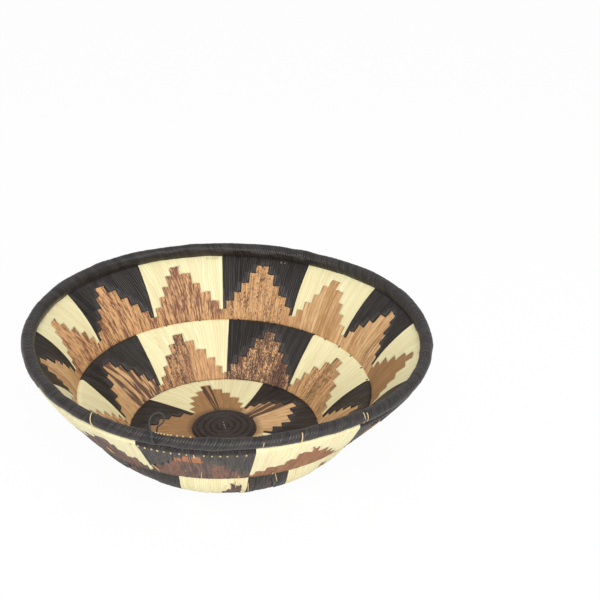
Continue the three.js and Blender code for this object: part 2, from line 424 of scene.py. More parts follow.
def surface(tree, colour, height, depth, rough, ior, sheen=0.0):
    """Ends a material with its colour, a bump of a depth in millimetres and its roughness."""
    bump = add(tree, "ShaderNodeBump", {"Height": height, "Strength": 1.0, "Distance": depth * MM})
    shader = add(tree, "ShaderNodeBsdfPrincipled", {
        "Base Color": colour, "Roughness": rough, "Normal": bump.outputs[0], "IOR": ior,
        "Sheen Weight": sheen, "Sheen Roughness": 0.4})
    add(tree, "ShaderNodeOutputMaterial", {"Surface": shader.outputs[0]})


# Raffia


def raffia(name, light, shade, strand=1.7, gloss=0.5, contrast=0.6, crease_shade=0.8, end=0.75, depth=0.16,
           ior=1.5, sheen=0.08, tuft=None, wander=2.4):
    """Raffia: palm leaf strips one to two millimetres wide, drawn tight side by side. It shows fine
    parallel strands of slightly different tone, painted shade in the creases between them, a soft sheen
    along them and a painted shadow where they end at the bark. The dyed kind is painted lighter grey
    over these ends, for brushed up tufts and for a painted sheen where the raffia bulges."""
    material, tree = new_finish(name)
    wrap = kept(tree, "wrap", "Vector")
    edge = kept(tree, "edge", "Fac")
    arc = add(tree, "ShaderNodeSeparateXYZ", {0: wrap}).outputs["X"]

    # Strands wander a little along their length.
    straight = calculate(tree, "DIVIDE", arc, strand * MM)
    strands = weighted(tree, straight, (noise(tree, wrap, 7, 30, 1.0), wander))
    number = calculate(tree, "FLOOR", strands)
    crown = calculate(tree, "PINGPONG", calculate(tree, "FRACT", strands), 0.5)
    tone = add(tree, "ShaderNodeTexWhiteNoise", {"W": number}, noise_dimensions="1D").outputs["Value"]

    fine = noise(tree, wrap, 0.32, 11, 3.0)
    broad = noise(tree, wrap, 7, 30, 2.0)
    shaded = weighted(tree, 0.0, (tone, 0.5), (fine, 0.7), (broad, 0.6))
    colour = blend(tree, fade(tree, shaded, 0.55, 1.3, 0.0, contrast), light, shade)
    # The dyed kind is painted lighter grey near its ends, for brushed up tufts and for a painted sheen where
    # the raffia bulges.
    if tuft:
        near_end = fade(tree, edge, 1.2 * MM, 5 * MM, 0.9, 0.0)
        ends = calculate(tree, "MULTIPLY", near_end, fade(tree, fine, 0.4, 0.6))
        colour = blend(tree, ends, colour, tuft)
    # Painted shade in the creases between strands, and a painted shadow where the strands end at the bark.
    colour = dimmed(tree, colour, fade(tree, crown, 0.0, 0.14, crease_shade, 1.0),
                    fade(tree, edge, 0.0, 1.1 * MM, end, 1.0))

    height = weighted(tree, 0.0, (calculate(tree, "SQRT", crown), 1.3), (fine, 0.6))
    rough = fade(tree, fine, 0.3, 0.7, gloss - 0.08, gloss + 0.1)
    surface(tree, colour, height, depth, rough, ior, sheen)
    return material


# Bark


def bark(name, light, usual, dark, streaks=0.5, strips=0.5, specks=0.0, stripes=0.0, stripe_width=1.9,
         stripes_from=-2, span=(0, COLUMNS), gloss=0.6, seed=0.0):
    """Banana bark: dried stem skin in flat strips, one to a column. It shows long soft fibres, short
    streaks and specks from pale tan to near black, and a strip edge at each column. Painted shade lies
    where it runs under the raffia's steps and where it tucks in at the foot. Specks and stripes keep to
    a span of columns, and stripes start at a height."""
    material, tree = new_finish(name)
    wrap = kept(tree, "wrap", "Vector")
    edge = kept(tree, "edge", "Fac")
    parts = add(tree, "ShaderNodeSeparateXYZ", {0: wrap}).outputs
    column = parts["Z"]
    along = calculate(tree, "ABSOLUTE", parts["Y"])

    # Each strip has its own tone and its own stretch of pattern. Some columns hold two strips.
    folds = weighted(tree, calculate(tree, "MULTIPLY", column, 1.7), (noise(tree, wrap, 9, 30, 1.0), 0.8))
    number = weighted(tree, seed, (calculate(tree, "FLOOR", folds), 1.0))
    strip = add(tree, "ShaderNodeTexWhiteNoise", {"W": number}, noise_dimensions="1D")
    shift = add(tree, "ShaderNodeVectorMath", {0: strip.outputs["Color"], "Scale": 0.35}, operation="SCALE")
    own = add(tree, "ShaderNodeVectorMath", {0: wrap, 1: shift.outputs[0]}, operation="ADD").outputs[0]

    fibre = noise(tree, own, 0.8, 5, 3.0, 0.6)
    streak = noise(tree, own, 1.8, 13, 3.0, 0.6)
    patch = noise(tree, own, 8, 14, 1.0)
    tone = weighted(
        tree, 0.5 - 4 * streaks - 0.5 * strips - 0.35,
        (fibre, 4 * streaks), (streak, 4 * streaks), (strip.outputs["Value"], strips), (patch, 0.7))
    colour = blend(tree, tone, light, usual)

    within = calculate(tree, "MODULO", column, float(COLUMNS))
    within = calculate(tree, "MULTIPLY", fade(tree, within, span[0] - 0.2, span[0] + 0.01),
                       fade(tree, within, span[1] - 0.01, span[1] + 0.2, 1.0, 0.0))
    where = weighted(tree, 0.0, (noise(tree, own, 0.7, 1.9, 2.0, 0.65), 1.0), (patch, 0.35))
    rare = 0.84 - 0.22 * specks
    spots = fade(tree, where, rare, rare + 0.06, 0.0, min(0.9, 1.6 * specks))
    wide = noise(tree, own, stripe_width, 90, 1.5)
    rare = 0.64 - 0.2 * stripes
    bands = calculate(tree, "MULTIPLY", fade(tree, wide, rare, rare + 0.05, 0.0, min(0.9, 1.5 * stripes)),
                      fade(tree, along, (stripes_from - 1) * MM, (stripes_from + 1) * MM))
    for marks in (spots, bands):
        colour = blend(tree, calculate(tree, "MULTIPLY", marks, within), colour, dark)

    # Darker strip edges at each column, painted shade where the bark runs under the raffia's steps, and
    # painted shade where it tucks in at the foot.
    crown = calculate(tree, "PINGPONG", calculate(tree, "FRACT", folds), 0.5)
    colour = dimmed(tree, colour, fade(tree, crown, 0.0, 0.1, 0.6, 1.0),
                    fade(tree, edge, 0.0, 0.8 * MM, 0.7, 1.0), fade(tree, along, 0.0, 3 * MM, 0.65, 1.0))
    height = weighted(tree, 0.0, (fibre, 1.2), (streak, 0.8))
    surface(tree, colour, height, 0.3, fade(tree, streak, 0.35, 0.65, gloss - 0.1, gloss + 0.12), 1.48)
    return material


# Each kind of bark with its pale, usual and dark colour, and how it varies
BARK_LOOKS = {
    "streaked": ("bark_light", "bark_brown", "bark_dark", dict(streaks=1.0, strips=0.8, specks=0.1)),
    "golden": ("bark_light", "bark_tan", "bark_dark", dict(
        streaks=0.7, strips=0.5, specks=0.55, span=(2, 10))),
    "pale": ("bark_pale", "bark_tan", "bark_dark", dict(streaks=0.3, strips=0.9, seed=31)),
    "plain": ("bark_tan", "bark_olive", "bark_dark", dict(streaks=0.25, strips=0.3, seed=5)),
    "half_dark": ("bark_pale", "bark_tan", "bark_dark", dict(
        streaks=0.4, strips=0.5, specks=0.35, stripes=0.25, span=(2, 5), seed=17)),
    "striped": ("bark_pale", "bark_tan", "bark_purple", dict(
        streaks=0.3, strips=0.4, stripes=0.9, stripe_width=3.2, span=(0, 6), seed=47)),
    "two_striped": ("bark_pale", "bark_tan", "bark_dark", dict(
        streaks=0.3, strips=0.4, stripes=1.3, stripe_width=2.6, span=(5.9, 8.5), seed=41)),
    "speckled": ("bark_light", "bark_brown", "bark_dark", dict(
        streaks=0.4, strips=0.6, specks=0.75, span=(5, 11), seed=62)),
    "mottled": ("bark_light", "bark_brown", "bark_dark", dict(
        streaks=0.9, strips=1.1, specks=1.1, seed=75)),
    "patched": ("bark_light", "bark_olive", "bark_dark", dict(
        streaks=0.6, strips=0.6, specks=0.5, span=(4, 8), seed=8)),
    "dark_centred": ("bark_tan", "bark_olive", "bark_dark", dict(
        streaks=0.3, strips=0.2, stripes=1.3, span=(5, 6), seed=12)),
    "glossy_dark": ("bark_red", "bark_grey", "bark_dark", dict(
        streaks=0.6, strips=0.9, specks=0.3, gloss=0.5, seed=86)),
    "orange_peaked": ("bark_red", "bark_grey", "bark_orange", dict(
        streaks=0.6, strips=0.9, stripes=1.3, stripe_width=1.4, stripes_from=34, span=(4, 6), gloss=0.5,
        seed=85)),
    "near_black": ("bark_grey", "black", "black_shade", dict(
        streaks=0.5, strips=0.9, specks=0.5, gloss=0.5, seed=88)),
    "matte_brown": ("bark_matte", "bark_brown", "bark_dark", dict(
        streaks=0.2, strips=0.3, gloss=0.75, seed=93)),
}


def make_finishes():
    """Every finish by its short name."""
    c = bpy.context.scene.basket_colours
    # The rim's wraps lie straight and shine a little more. The disc's strands are finer and duller, loose
    # ends are strips of undyed raffia, stalk fibre is split fine and matte, and the cord is twisted from
    # thin dark strands.
    made = {
        "cream": raffia("undyed_raffia", c.cream, c.cream_shade),
        # The dyed raffia has deep painted shade in its creases and a dark painted shadow where it ends at
        # the bark.
        "black": raffia("black_dyed_raffia", c.black, c.black_shade, gloss=0.42, crease_shade=0.25, contrast=1.0,
                        end=0.15, depth=0.45, ior=1.42, sheen=0.0, tuft=c.black_tuft_and_sheen),
        "rim": raffia("black_rim_wraps", c.black, c.black_shade, strand=sizes().rim_strand / MM, gloss=0.38,
                      crease_shade=0.45, contrast=1.0, depth=0.28, wander=0.0),
        "ends": raffia("raffia_ends", c.cream_shade, c.bark_tan),
        "disc": raffia("brown_black_raffia", c.disc, c.black_shade, strand=1.3, gloss=0.55, crease_shade=0.6),
        "fibre": raffia("stalk_fibre", c.fibre, c.bark_tan, strand=0.8, gloss=0.75),
        "cord": raffia("twisted_cord", c.cord, c.black_shade, strand=0.5, gloss=0.6),
    }
    for kind, (light, usual, dark, look) in BARK_LOOKS.items():
        made[kind] = bark(f"{kind}_bark", getattr(c, light), getattr(c, usual), getattr(c, dark), **look)
    return made


FINISHES = {}


def finish(name):
    """A finish by its short name. All are made once, for the first piece that asks."""
    if not FINISHES:
        FINISHES.update(make_finishes())
    return FINISHES[name]


# The bark of each panel, inside and outside
BARK_INSIDE = {
    "base": ("dark_centred", "plain", "pale", "two_striped"),
    "middle": (
        "patched", "mottled", "speckled", "striped", "streaked", "pale", "striped", "pale", "mottled",
        "pale"),
    "upper": (
        "half_dark", "pale", "golden", "streaked", "streaked", "streaked", "pale", "pale", "golden",
        "streaked", "pale", "plain"),
}
BARK_OUTSIDE = {
    "base": ("matte_brown", "glossy_dark", "matte_brown", "glossy_dark"),
    "middle": (
        "matte_brown", "glossy_dark", "speckled", "matte_brown", "glossy_dark", "glossy_dark", "glossy_dark",
        "near_black", "speckled", "matte_brown"),
    "upper": (
        "matte_brown", "streaked", "glossy_dark", "matte_brown", "streaked", "glossy_dark", "matte_brown",
        "glossy_dark", "orange_peaked", "matte_brown", "matte_brown", "streaked"),
}

# The raffia of the odd and the even panels
RAFFIA_COLOURS = {"base": ("cream", "black"), "middle": ("cream", "black"), "upper": ("black", "cream")}

# Radius at which the finishes measure a tier's arc
ARC_RADIUS = {"base": 55 * MM, "middle": 95 * MM, "upper": 130 * MM}

# Faces round a band's round edge, and the usual length in millimetres of those along its faces
EDGE_STEPS = 8
ROW_LENGTH = 2.0

# Room in millimetres between a tier's skin and the tier that it stands on
TIER_GAP = 0.1

# How far the lines between columns stray, inside and outside, in columns
COLUMN_STRAY = (0.14, 0.3)

# How raggedly the strands end, inside and outside, and how far along them that shows, in millimetres
RAGGEDNESS = (0.4, 2.0)
RAGGED_REACH = 4

# How far bark strips differ in depth, sink at their edges and wave, and how far single raffia strands and
# broad bundles of them wave, in millimetres
STRIP_DEPTH = 0.14
STRIP_EDGE = 0.18
STRIP_WAVE = 0.15
STRAND_WAVE = 0.16
BUNDLE_WAVE = 0.2

# How far the strands lean along the tier, most at the left of the basket
STRAND_LEAN = 0.35


def by_side(side, inside, outside, on_edge=0):
    """The value that each point gets from the side that it lies on."""
    return np.where(side == 1, inside, np.where(side == -1, outside, on_edge))


def lap_of(part):
    """How far a part runs on past the steps, in millimetres."""
    return sizes().lap / MM if part == "bark" else 0


def panel_rows(tier, part):
    """Section rows of a panel's skin as side, distance along and turn, from inner foot round to outer foot.
    Side is 1 inside, -1 outside and 0 on a round edge, where turn is the angle from the inner face."""
    width = BANDS[tier][1]
    if part == "raffia":
        marks = sorted({width, *COURSES[tier]})
    else:
        marks = sorted({0.0, *COURSES[tier], *(course + lap_of(part) for course in COURSES[tier])})
    rows = [marks[0]]
    for low, high in zip(marks, marks[1:]):
        steps = max(1, round((high - low) / ROW_LENGTH))
        rows += [low + (high - low) * k / steps for k in range(1, steps + 1)]
    inner = [(1, v, 0) for v in rows]
    outer = [(-1, v, 0) for v in rows]
    turns = [180 * k / EDGE_STEPS for k in range(1, EDGE_STEPS)]
    if part == "raffia":
        return np.array(inner + [(0, width, turn) for turn in turns] + outer[::-1])
    return np.array(inner[::-1] + [(0, 0.0, -turn) for turn in turns] + outer)


def section_points(tier, side, distance, turn, angle, skin):
    """Radius and height of points of a band's skin, which lie at the distance skin from its middle."""
    foot, _ = band_ends(tier)
    _, width, slope = BANDS[tier]
    degrees = by_side(side, 90, -90, 90 - turn)
    share = np.clip(distance / width, 0, 1)
    fullness = np.where(side == 1, INNER_FULLNESS[tier], round_curve(OUTER_FULLNESS[tier], angle))
    bow = 4 * share * (1 - share) * fullness * MM
    points = foot + across(slope) * distance[:, None] * MM + across(slope, degrees) * (skin + bow)[:, None]
    if tier in BELOW:
        points = clear_of(points, BELOW[tier], sizes().band_thickness / 2 + TIER_GAP * MM)
    return points


def course_height(tier, column):
    """Height of the bark in each column."""
    return np.array(COURSES[tier])[np.minimum(column, COLUMNS - 1 - column)]


def step_skin(tier, part):
    """The skin of one panel laid out over a degree a column, with the steps cut out."""
    rows = panel_rows(tier, part)
    lap = lap_of(part)
    bm = bmesh.new()
    row = bm.verts.layers.float.new("row")
    chain = []
    for i in range(len(rows)):
        vert = bm.verts.new((1, 0, i / len(rows)))
        vert[row] = i
        chain.append(vert)
    for pair in zip(chain, chain[1:]):
        bm.edges.new(pair)
    spin_all(bm, math.radians(COLUMNS), COLUMNS * sizes().column_steps, use_merge=False)
    cut = []
    for face in bm.faces:
        centre = face.calc_center_median()
        column = min(int(math.degrees(math.atan2(centre.y, centre.x))), COLUMNS - 1)
        near = [rows[round(v[row])] for v in face.verts]
        distance = sum(r[1] for r in near) / 4
        on_raffia = distance > course_height(tier, column) + lap
        if (on_raffia or distance == BANDS[tier][1]) != (part == "raffia"):
            cut.append(face)
        face.material_index = 0 if sum(r[0] for r in near) >= 0 else 1
    bmesh.ops.delete(bm, geom=cut, context="FACES")
    border = bm.verts.layers.float.new("border")
    for v in bm.verts:
        v[border] = v.is_boundary
    return as_mesh(bm, f"{tier}_{part}_steps"), rows


def column_angles(position, low, high, peak, peak_width, shakes):
    """Angles of positions, counted in columns, between two panel borders. The middle column is at the
    peak."""
    near = np.clip(np.round(position).astype(int), 0, COLUMNS)
    inside = (near > 0) & (near < COLUMNS)
    position = position + np.where(inside, shakes[near] * np.maximum(0, 1 - 2 * np.abs(position - near)), 0)
    marks = np.cumsum((0,) + COLUMN_WIDTHS) / sum(COLUMN_WIDTHS)
    part = np.interp(position, range(COLUMNS + 1), [*marks, *(3 - marks[::-1])])
    half = (high - low) * peak_width / (2 * sum(COLUMN_WIDTHS) + peak_width) / 2
    left, right = peak - half, peak + half
    return np.select(
        [part <= 1, part <= 2], [low + (left - low) * part, left + (right - left) * (part - 1)],
        right + (high - right) * (part - 2))


def panel_angles(tier, number, position, side, share, turned, rng):
    """Angle of each point of a panel, from its column position and its share of the way up."""
    head, inner, outer = (list(row) + [row[0] + 360] for row in BORDERS[tier])
    i = number - 1
    shakes = [rng.uniform(-stray, stray, COLUMNS + 1) for stray in COLUMN_STRAY]
    found = []
    for foot, peaks, shake in zip((inner, outer), (INNER_PEAKS, OUTER_PEAKS), shakes):
        middle = (head[i] + head[i + 1]) / 2
        top_peak, foot_peak = peaks[tier].get(number, (middle, (foot[i] + foot[i + 1]) / 2))
        # Close to the head edge the peak moves to halfway between the borders.
        top_peak = middle + (top_peak - middle) * np.minimum(1, 8 * (1 - share))
        top = column_angles(position, head[i], head[i + 1], top_peak, PEAK_WIDTHS[tier], shake)
        low = column_angles(position, foot[i], foot[i + 1], foot_peak, PEAK_WIDTHS[tier], shake)
        found.append(low + (top - low) * share)
    outside = by_side(side, 0, 1, turned)
    return np.radians(found[0] * (1 - outside) + found[1] * outside)


def border_distance(tier, position, distance, lap):
    """Distance of each point from the stepped border, in millimetres."""
    wide = math.radians(360 / len(BORDERS[tier][0])) * ARC_RADIUS[tier] / MM / COLUMNS
    column = np.clip(position.astype(int), 0, COLUMNS - 1)
    own = course_height(tier, column) + lap
    best = np.abs(distance - own)
    for other in (column - 1, column + 1):
        there = np.clip(other, 0, COLUMNS - 1)
        height = course_height(tier, there) + lap
        crossed = (distance > height) != (distance > own)
        side = np.where(other < column, position - column, column + 1 - position) * wide
        best = np.where(crossed, np.minimum(best, side), best)
    return best


def make_panel(tier, number, part, steps, rows):
    """One panel's raffia or bark as a thin closed skin round the band's edge."""
    rng = np.random.default_rng(number + 20 * list(BANDS).index(tier))
    mesh = steps.copy()
    flat = places(mesh)
    side, distance, turn = rows[np.round(numbers(mesh, "row")).astype(int)].T
    border = numbers(mesh, "border")
    position = np.degrees(np.arctan2(flat[:, 1], flat[:, 0]))
    position = np.round(position * sizes().column_steps) / sizes().column_steps
    lap = lap_of(part)
    share = np.clip(distance / BANDS[tier][1], 0, 1)
    angle = panel_angles(tier, number, position, side, share, np.abs(turn) / 180, rng)

    # The courses end a little above or below their height, and the strands end raggedly.
    column = np.clip(position.astype(int), 0, COLUMNS - 1)
    away = np.abs(distance - course_height(tier, column) - lap)
    loose = by_side(side, *RAGGEDNESS)
    near = np.round(position).astype(int)
    inner, outer, _ = rng.uniform(-1, 1, (3, COLUMNS + 1))
    uneven = by_side(side, inner[near], outer[near])
    moved = distance + np.maximum(0, 1 - away / RAGGED_REACH) * uneven * loose
    moved += border * rng.uniform(-1, 1, len(position)) * loose * 0.5

    # A drop eases off within 12 mm of the foot and 6 mm of the head.
    drop = by_side(side, *DROPS.get((tier, number), (0, 0)))
    moved -= drop * np.clip(np.minimum(distance / 12, (BANDS[tier][1] - distance) / 6), 0, 1)

    # Strips and strands lie a little deeper here and there.
    if part == "bark":
        strips = rng.uniform(0, 1, COLUMNS)[column]
        within = np.abs(position - column - 0.5) * 2
        waves = waver(position * 3, distance * 0.15, number)
        depth = STRIP_DEPTH * strips + STRIP_EDGE * within ** 4 + STRIP_WAVE * waves
        inset = sizes().bark_inset
        materials = [finish(bark_of[tier][number - 1]) for bark_of in (BARK_INSIDE, BARK_OUTSIDE)]
        slot = ("bark_brown", "bark_tan", "bark_dark")[(number - 1) % 3]
    else:
        single = waver(position * 4.3, distance * 0.03, number)
        broad = waver(position * 0.9, distance * 0.08, number + 9)
        depth = STRAND_WAVE * single + BUNDLE_WAVE * broad
        inset = 0
        colour = RAFFIA_COLOURS[tier][(number - 1) % 2]
        materials = [finish(colour)] * 2
        slot = f"{colour}_raffia"
    skin = sizes().band_thickness / 2 - inset - depth * MM
    section = section_points(tier, side, moved, turn, angle, skin)

    lean = STRAND_LEAN * np.maximum(0, -np.cos(angle)) * moved * MM
    along = np.where(side == -1, -moved, moved) * MM
    wrap = np.stack([angle * ARC_RADIUS[tier] - lean, along, position + number * COLUMNS], 1)
    place(mesh, in_space(section, angle), wrap, border_distance(tier, position, distance, lap) * MM)
    if faces_inwards(mesh, section, angle, tier):
        mesh.flip_normals()
    piece = new_piece(f"{tier}_{part}_skin_{number}", mesh, materials, [f"{tier}_{part}_{number}"], slot)
    thicken(piece, sizes().raffia_thickness)


def faces_inwards(mesh, section, angle, tier):
    """Whether a skin's faces point to the middle of its band."""
    _, off = from_middle(section, tier)
    away = np.stack([off[:, 0] * np.cos(angle), off[:, 0] * np.sin(angle), off[:, 1]], 1)
    normals = np.zeros(len(mesh.vertices) * 3)
    mesh.vertex_normals.foreach_get("vector", normals)
    return (normals.reshape(-1, 3) * away).sum() < 0


class BASKET_OT_tier(bpy.types.Operator):
    """Wrap one tier: its raffia and bark panels, inside and outside"""
    bl_idname = "basket.tier"
    bl_label = "Tier panels"

    tier: EnumProperty(name="Tier", description="Tier to wrap", items=[
        ("base", "Base", "Flat tier round the disc"),
        ("middle", "Middle", "First rising tier"),
        ("upper", "Upper", "Second rising tier")])

    def execute(self, context):
        for part in ("raffia", "bark"):
            steps, rows = step_skin(self.tier, part)
            for number in range(1, len(BORDERS[self.tier][0]) + 1):
                make_panel(self.tier, number, part, steps, rows)
            bpy.data.meshes.remove(steps)
        return {"FINISHED"}


# Round coils: foundations, rim and disc

# Radius in millimetres of the fibre bundle inside each tier's head edge and inside the rim
TIER_BUNDLE = 1.9
RIM_BUNDLE = 3.6

# How far a wrap of the rim and of the coil leans over between its side and its top, in wraps
RIM_LEAN = 1.3
COIL_LEAN = 0.4


def divide_along(bm, cuts):
    """Divides the edges of a spun bmesh that run round the axis."""
    along = []
    for edge in bm.edges:
        start, end = (v.co.xy for v in edge.verts)
        if abs(start.cross(end - start)) > 0.01 * start.length * edge.calc_length():
            along.append(edge)
    bmesh.ops.subdivide_edges(bm, edges=along, cuts=cuts)


def ring(centre, radius, sides, steps, cuts, shape):
    """A closed ring of round section. For the angles round the axis and round the section, shape gives
    the shift of the centre, the radius, the arc and the distance along."""
    bm = bmesh.new()
    upright_circle(bm, radius, sides, centre)
    spin_all(bm, math.tau, steps, use_merge=True)
    divide_along(bm, cuts)
    bmesh.ops.recalc_face_normals(bm, faces=bm.faces[:])
    mesh = as_mesh(bm, "ring")
    flat = places(mesh)
    around = np.arctan2(flat[:, 1], flat[:, 0]) % math.tau
    turn = np.arctan2(flat[:, 2] - centre[1], np.hypot(flat[:, 0], flat[:, 1]) - centre[0])
    shift, reach, arc, along = shape(around, turn)
    section = centre + shift + np.stack([np.cos(turn), np.sin(turn)], 1) * reach[:, None]
    place(mesh, in_space(section, around), np.stack([arc, along, 0 * arc], 1), np.ones(len(arc)))
    return mesh


def towards_head():
    """The way from the rim's centre to the upper tier's head edge, of length 1."""
    way = band_ends("upper")[1] - RIM_CENTRE
    return way / np.linalg.norm(way)


def rim_form(around):
    """Shift of the rim's centre and its girth at angles, as a share. Where the rim is thin it still lies
    on the tier's head edge."""
    girth = np.interp(np.degrees(around) % 360, *np.transpose(RIM_GIRTH))
    return towards_head() * sizes().rim_radius * np.maximum(0, 1 - girth)[:, None], girth


def even_form(around):
    """No shift, and the same girth all round."""
    return 0, np.ones(len(around))


def strand_relief(strand, heights, rounding):
    """How far a coil's strands lie below its fullest radius. Each has its own depth, and is rounded off
    towards its edges by a depth in millimetres."""
    number = np.floor(strand).astype(int)
    within = np.abs(strand - number - 0.5) * 2
    return (0.2 * heights[number % len(heights)] + rounding * within ** 3) * MM


def lay_bundle(name, centre, radius, form):
    """A ring of stalk fibre, whose form gives the shift of its centre and its girth at angles."""
    def shape(around, turn):
        shift, girth = form(around)
        # Twelve stalks show as low ridges that twist round the bundle.
        stalks = 0.06 * np.sin(12 * turn + 90 * around)
        return shift, radius * (0.94 * girth + stalks), turn * radius + around * 20 * MM, around * centre[0]
    mesh = ring(centre, radius, sides=24, steps=120, cuts=2, shape=shape)
    new_piece(f"{name}_fibre", mesh, [finish("fibre")], [f"{name}_foundation"], "fibre")


class BASKET_OT_foundations(bpy.types.Operator):
    """Lay the fibre bundle inside each tier's head edge and inside the rim"""
    bl_idname = "basket.foundations"
    bl_label = "Foundation coils"

    def execute(self, context):
        for tier in BANDS:
            lay_bundle(tier, band_ends(tier)[1], TIER_BUNDLE * MM, even_form)
        lay_bundle("rim", RIM_CENTRE, RIM_BUNDLE * MM, rim_form)
        return {"FINISHED"}


class BASKET_OT_rim(bpy.types.Operator):
    """Wrap the thick rim in black raffia"""
    bl_idname = "basket.rim"
    bl_label = "Rim"

    def execute(self, context):
        radius = sizes().rim_radius
        width = sizes().rim_strand
        wraps = round(math.tau * RIM_CENTRE[0] / width)
        heights = np.random.default_rng(3).uniform(0, 1, wraps)
        out, up = towards_head()
        head_turn = math.atan2(up, out)

        def shape(around, turn):
            strand = around / math.tau * wraps - RIM_LEAN * np.sin(turn)
            lumps = 0.8 * (waver(around * 14, turn, 5) - 0.5)
            seat = np.maximum(0, np.cos(turn - head_turn)) ** 6
            shift, girth = rim_form(around)
            reach = radius * girth + (lumps + seat) * MM - strand_relief(strand, heights, rounding=0.17)
            return shift, reach, strand * width, turn * radius

        mesh = ring(RIM_CENTRE, radius, sides=44, steps=wraps // 2, cuts=7, shape=shape)
        new_piece("rim_strands", mesh, [finish("rim")], ["rim_wrap"], "black_raffia")
        return {"FINISHED"}


class BASKET_OT_centre_coil(bpy.types.Operator):
    """Wind the dark coil of the centre disc"""
    bl_idname = "basket.centre_coil"
    bl_label = "Centre coil"

    eye: length_property("Eye", "Radius at which the coil starts", 0.5)
    last_turn: length_property("Last turn", "Radius at which the last full turn ends", 22.4)
    lead_turns: number_property("Lead turns", "Turns at the eye before the coil grows", 1)
    full_turns: number_property("Full turns", "Turns at full thickness", 4.25)
    taper_turns: number_property("Taper turns", "Turns over which the coil thins out", 0.95)
    steps_per_turn: IntProperty(name="Steps per turn", description="Rings of points in one turn", default=40)
    fullness: length_property("Fullness", "How far the strands stand out, so that turns touch", 0.9)

    def execute(self, context):
        thick = sizes().coil_radius
        width = sizes().coil_strand
        pitch = (self.last_turn - self.eye) / self.full_turns
        turns = self.lead_turns + self.full_turns + self.taper_turns
        spun_at = 10 * MM
        bm = bmesh.new()
        upright_circle(bm, thick, 24, (spun_at, 0), filled=True)
        side = bm.verts.layers.float.new("side")
        for v in bm.verts:
            v[side] = math.atan2(v.co.z, v.co.x - spun_at)

        # The coil is first spun as a screw, whose climb then becomes the spiral's growth.
        climb = 20 * MM
        spin_all(bm, math.tau * turns, round(turns * self.steps_per_turn),
                 dvec=(0, 0, climb / self.steps_per_turn), use_merge=False)
        divide_along(bm, 3)
        bmesh.ops.recalc_face_normals(bm, faces=bm.faces[:])
        mesh = as_mesh(bm, "coil")
        turn = numbers(mesh, "side")
        done = (places(mesh)[:, 2] - thick * np.sin(turn)) / climb - self.lead_turns

        # Past the full turns the coil thins out to a tip.
        tail = np.maximum(0, done - self.full_turns) / self.taper_turns
        taper = 1 - 0.93 * tail
        length = math.tau * (self.eye * done + pitch * np.maximum(0, done) ** 2 / 2)
        strand = length / width + COIL_LEAN * np.sin(turn)
        heights = np.random.default_rng(4).uniform(0, 1, 1000)
        reach = thick + self.fullness - strand_relief(strand, heights, rounding=0.22)
        centre = self.eye + pitch * np.clip(done, 0, self.full_turns) + thick * (1 - taper)
        radius = centre + reach * taper * np.cos(turn)
        around = math.tau * done
        height = sizes().band_thickness - thick + reach * (1 - 0.3 * tail) * np.sin(turn)
        points = np.stack([radius * np.cos(around), radius * np.sin(around), height], 1)
        place(mesh, points, np.stack([strand * width, turn * thick, 0 * turn], 1), np.ones(len(turn)))
        new_piece("centre_coil_strands", mesh, [finish("disc")], ["centre_coil"], "disc_raffia")
        return {"FINISHED"}


# Strands


def smooth_path(points, between):
    """Points on a smooth curve through the given ones, evenly split between each two."""
    path = []
    ends = [2 * points[0] - points[1]] + points + [2 * points[-1] - points[-2]]
    for a, b, c, d in zip(ends, ends[1:], ends[2:], ends[3:]):
        for k in range(between):
            t = k / between
            path.append(0.5 * (2 * b + (c - a) * t + (2 * a - 5 * b + 4 * c - d) * t ** 2
                               + (3 * b - a - 3 * c + d) * t ** 3))
    return path + [points[-1]]


def new_strands():
    """An empty bmesh that keeps where a strand's finish reads."""
    bm = bmesh.new()
    bm.verts.layers.float_vector.new("wrap")
    bm.verts.layers.float.new("edge")
    return bm


def add_strand(bm, path, radius, sides=6, plies=0, lay=MM, taper=False):
    """Extrudes a round face along a path, as a cord of twisted plies or a single strand."""
    wrap = bm.verts.layers.float_vector["wrap"]
    edge = bm.verts.layers.float["edge"]
    ring_verts = bmesh.ops.create_circle(bm, cap_ends=True, segments=sides, radius=radius)["verts"]
    face = ring_verts[0].link_faces[0]
    side = (path[1] - path[0]).orthogonal().normalized()
    length = 0
    for i, point in enumerate(path):
        if i:
            length += (point - path[i - 1]).length
            made = bmesh.ops.extrude_face_region(bm, geom=[face])["geom"]
            if i > 1:
                bmesh.ops.delete(bm, geom=[face], context="FACES_ONLY")
            face = next(g for g in made if isinstance(g, bmesh.types.BMFace))
            ring_verts = face.verts[:]
        ahead = (path[min(i + 1, len(path) - 1)] - path[max(i - 1, 0)]).normalized()
        side = (side - ahead * side.dot(ahead)).normalized()
        other = ahead.cross(side)
        ends = 0.4 if taper and i in (0, len(path) - 1) else 1
        for k, v in enumerate(ring_verts):
            around = math.tau * k / sides
            groove = 1 - abs(math.cos(plies * around / 2 + math.pi * length / lay)) if plies else 0
            reach = radius * (ends - 0.12 * groove)
            v.co = point + (side * math.cos(around) + other * math.sin(around)) * reach
            v[wrap] = (around * radius, length, 0.5)
            v[edge] = 1.0
    bmesh.ops.recalc_face_normals(bm, faces=bm.faces[:])


# Hanging loop

# Where the loop is tied: degrees round the basket, and distance from its axis in millimetres
LOOP_ANGLE = -105.2
LOOP_REACH = 146.65

# The loop's route from there and from the rim's height: outwards, to the right and up, in millimetres
LOOP_ROUTE = (
    (1.1, 1, -6), (4.7, 0.6, -4.1), (6.3, 0.1, -0.3), (5.5, -0.3, 3.4), (3.8, -1.6, 6.3), (2.2, -2.9, 8.9),
    (1.1, -3.1, 11.4), (0.2, -1.9, 14.3), (-0.4, 0.4, 16.4), (-0.9, 3.3, 17.3), (-1.3, 5.6, 15.8),
    (-1.6, 6.1, 13), (-1.9, 4.9, 9.3), (-3.2, 2.2, 6), (-5.6, -0.2, 3), (-6.4, -1.2, -0.4),
    (-4.7, -1.4, -4.2))


